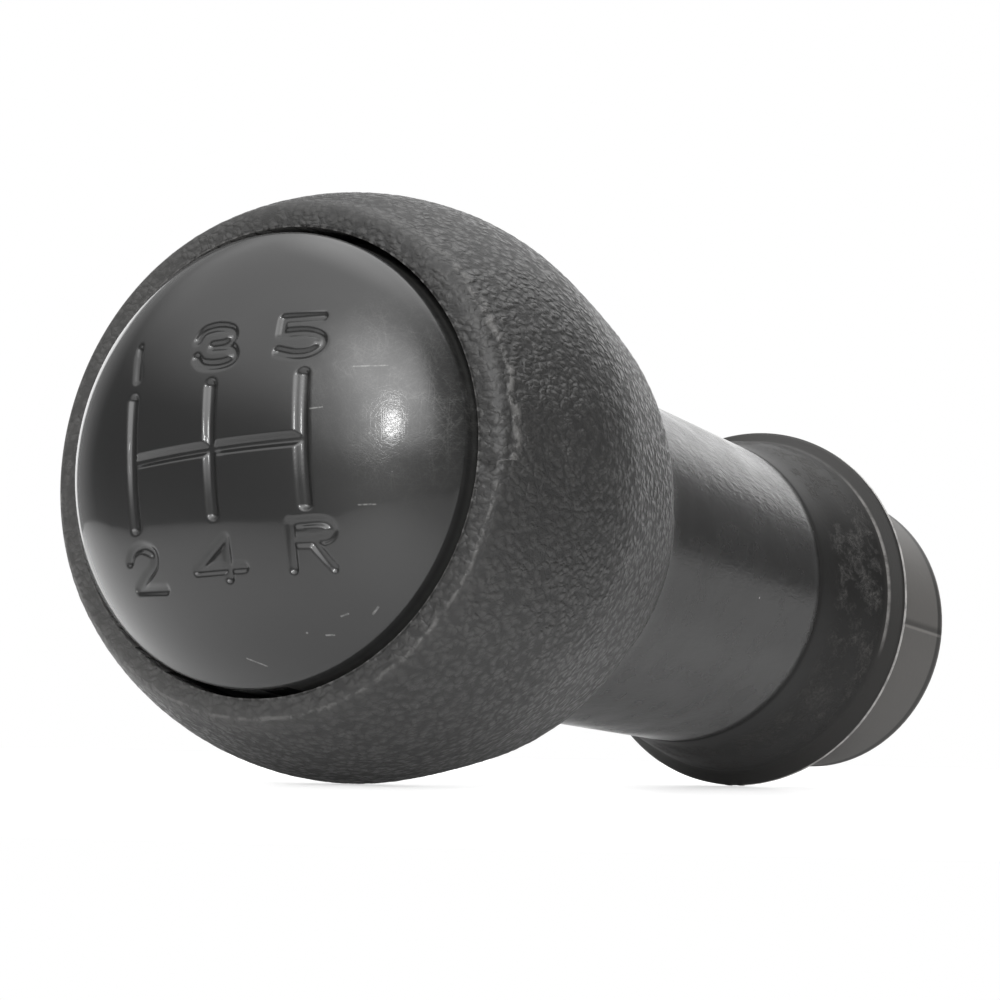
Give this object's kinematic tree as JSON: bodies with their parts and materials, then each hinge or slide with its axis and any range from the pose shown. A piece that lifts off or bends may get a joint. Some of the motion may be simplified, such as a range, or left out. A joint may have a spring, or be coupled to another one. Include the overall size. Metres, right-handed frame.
{
  "type": "gear shift knob",
  "caption": "Ball-headed push-on gear shift knob with a domed shift-pattern cap, a smooth tapering neck and a flared gaiter collar.",
  "frame": {"origin": "centre of the tail's end face, which is the bottom centre of the part", "axes": "+Z along the lever's axis, from the tail towards the pattern cap; +X to the right and +Y upwards on the shift pattern, so reverse is towards +X and -Y"},
  "size_m": [0.05, 0.05, 0.1071],
  "materials": {
    "gloss_black": "gloss",
    "soft_cover": "leather grain",
    "core_plastic": "matte",
    "collar_plastic": "matte",
    "bush_plastic": "satin",
    "spring_wire": "bright"
  },
  "bodies": {
    "root": {"pattern_cap": "gloss_black", "grip_cover": "soft_cover", "core_insert": "core_plastic", "gaiter_collar": "collar_plastic", "lever_bush": "bush_plastic", "spring_ring": "spring_wire"}
  },
  "joints": []
}
